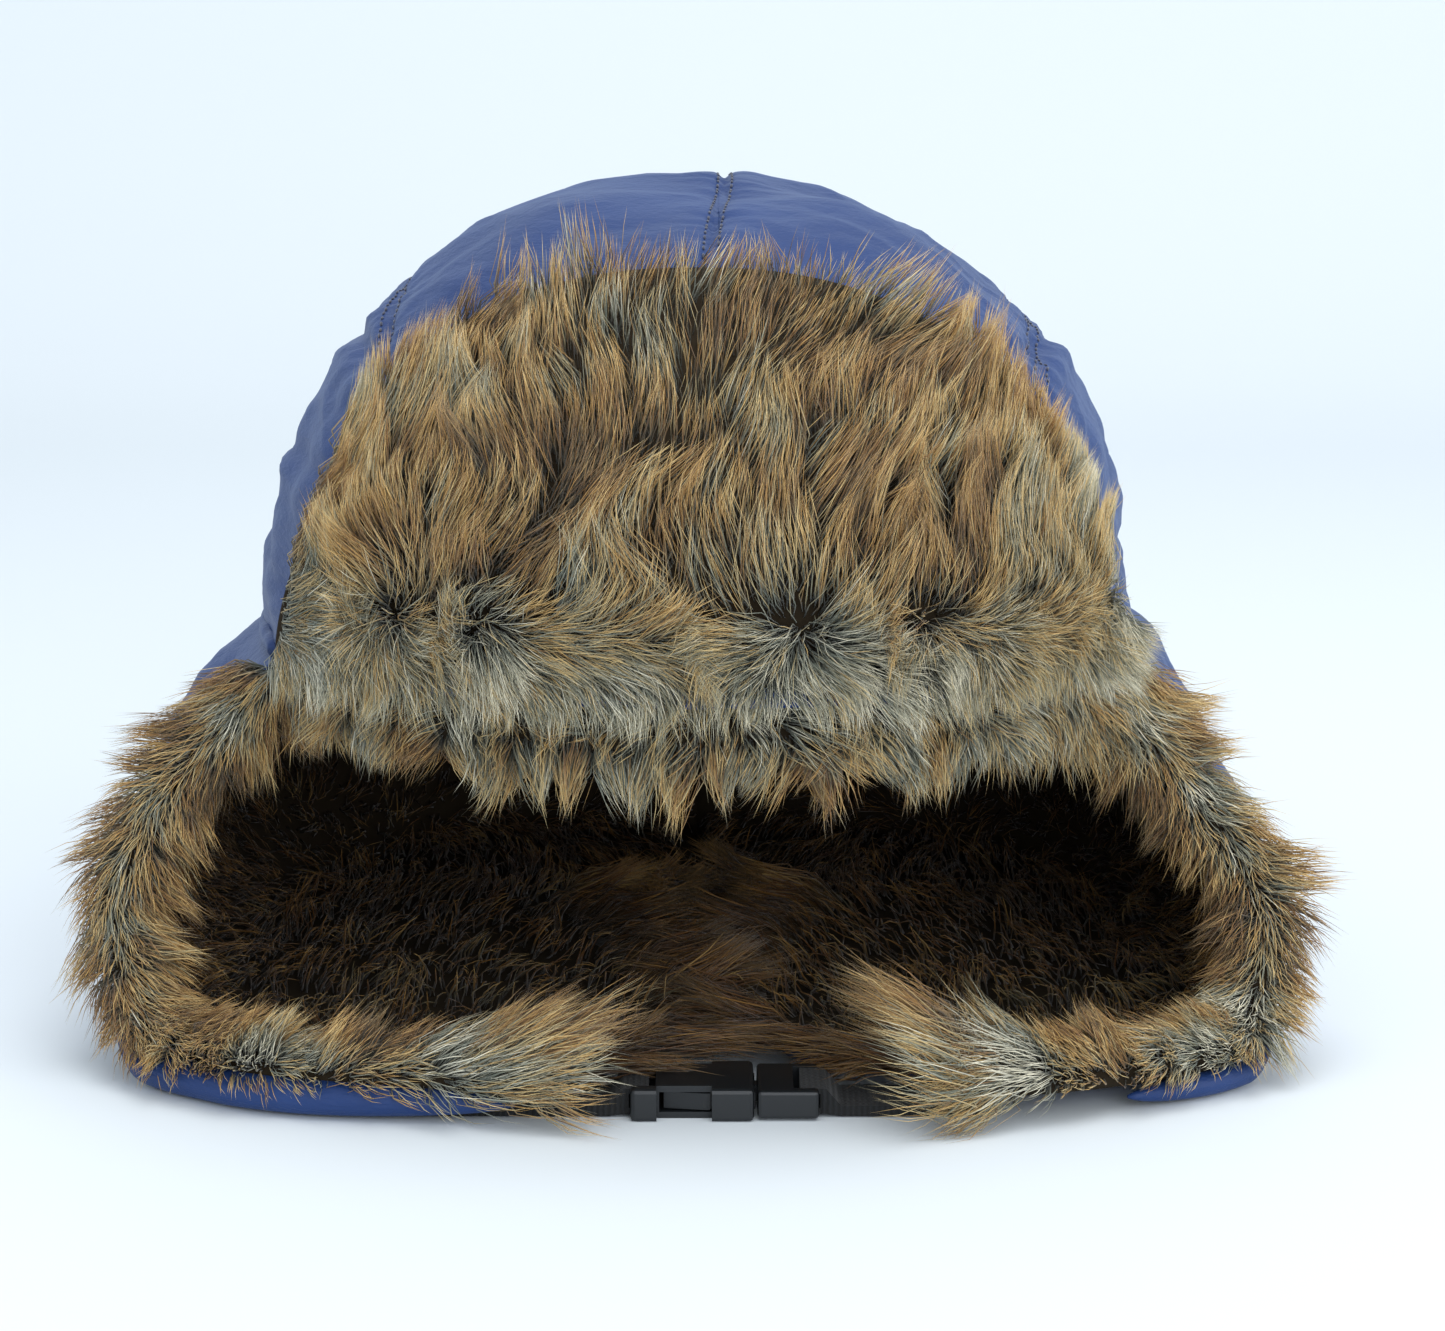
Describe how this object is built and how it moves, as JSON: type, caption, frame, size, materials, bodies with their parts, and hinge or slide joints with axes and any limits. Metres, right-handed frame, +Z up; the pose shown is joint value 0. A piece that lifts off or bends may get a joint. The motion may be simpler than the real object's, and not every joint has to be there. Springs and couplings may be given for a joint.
{
  "type": "trapper hat",
  "caption": "Trapper hat with a nylon crown, a raised fur front flap, fur lined ear and neck flaps, and a webbing chin strap closed with a side release buckle.",
  "frame": {"origin": "on the table under the middle of the hat's box", "axes": "+Z up, -Y towards the face opening, +X to the viewer's right"},
  "size_m": [0.2755, 0.2669, 0.197],
  "materials": {
    "nylon": "crinkled satin nylon",
    "faux_fur": "long pile",
    "wadding": "soft wadding",
    "webbing": "woven",
    "acetal": "moulded satin"
  },
  "bodies": {
    "hat": {"crown_panel_side_left": "nylon", "crown_panel_top_left": "nylon", "crown_panel_top_right": "nylon", "crown_panel_side_right": "nylon", "crown_padding_side_left": "wadding", "crown_padding_top_left": "wadding", "crown_padding_top_right": "wadding", "crown_padding_side_right": "wadding", "crown_lining_side_left": "faux_fur", "crown_lining_top_left": "faux_fur", "crown_lining_top_right": "faux_fur", "crown_lining_side_right": "faux_fur", "brow_trim": "faux_fur", "neck_flap_left_shell": "nylon", "neck_flap_left_lining": "faux_fur", "neck_flap_right_shell": "nylon", "neck_flap_right_lining": "faux_fur"},
    "front_flap": {"front_flap_shell": "nylon", "front_flap_fur": "faux_fur"},
    "left_ear": {"ear_flap_left_shell": "nylon", "ear_flap_left_lining": "faux_fur", "ear_flap_trim_left": "faux_fur", "chin_strap_left": "webbing", "buckle_female": "acetal"},
    "right_ear": {"ear_flap_right_shell": "nylon", "ear_flap_right_lining": "faux_fur", "ear_flap_trim_right": "faux_fur"},
    "male_half": {"buckle_male": "acetal", "chin_strap_right": "webbing"},
    "front_prong": {"prong_front": "acetal"},
    "back_prong": {"prong_back": "acetal"}
  },
  "joints": [
    {"name": "front_flap_fold", "type": "hinge", "parent": "hat", "child": "front_flap", "pos_m": [0, -0.134, 0.0975], "axis": [1, 0, 0], "range_deg": [0, 100]},
    {"name": "left_ear_fold", "type": "hinge", "parent": "hat", "child": "left_ear", "pos_m": [-0.106, 0, 0.091], "axis": [0, 1, 0], "range_deg": [0, 120]},
    {"name": "right_ear_fold", "type": "hinge", "parent": "hat", "child": "right_ear", "pos_m": [0.106, 0, 0.091], "axis": [0, -1, 0], "range_deg": [0, 120]},
    {"name": "buckle_release", "type": "slide", "parent": "right_ear", "child": "male_half", "axis": [1, 0, 0], "range_m": [0, 0.0205]},
    {"name": "prong_front_squeeze", "type": "hinge", "parent": "male_half", "child": "front_prong", "pos_m": [0.0125, -0.12315, 0.00375], "axis": [0, 0, -1], "range_deg": [0, 5], "stiffness_Nm_per_rad": 0.2},
    {"name": "prong_back_squeeze", "type": "hinge", "parent": "male_half", "child": "back_prong", "pos_m": [0.0125, -0.11165, 0.00375], "axis": [0, 0, 1], "range_deg": [0, 5], "stiffness_Nm_per_rad": 0.2}
  ],
  "couplings": [
    {"joint": "right_ear_fold", "follows": "left_ear_fold", "ratio": 1}
  ]
}
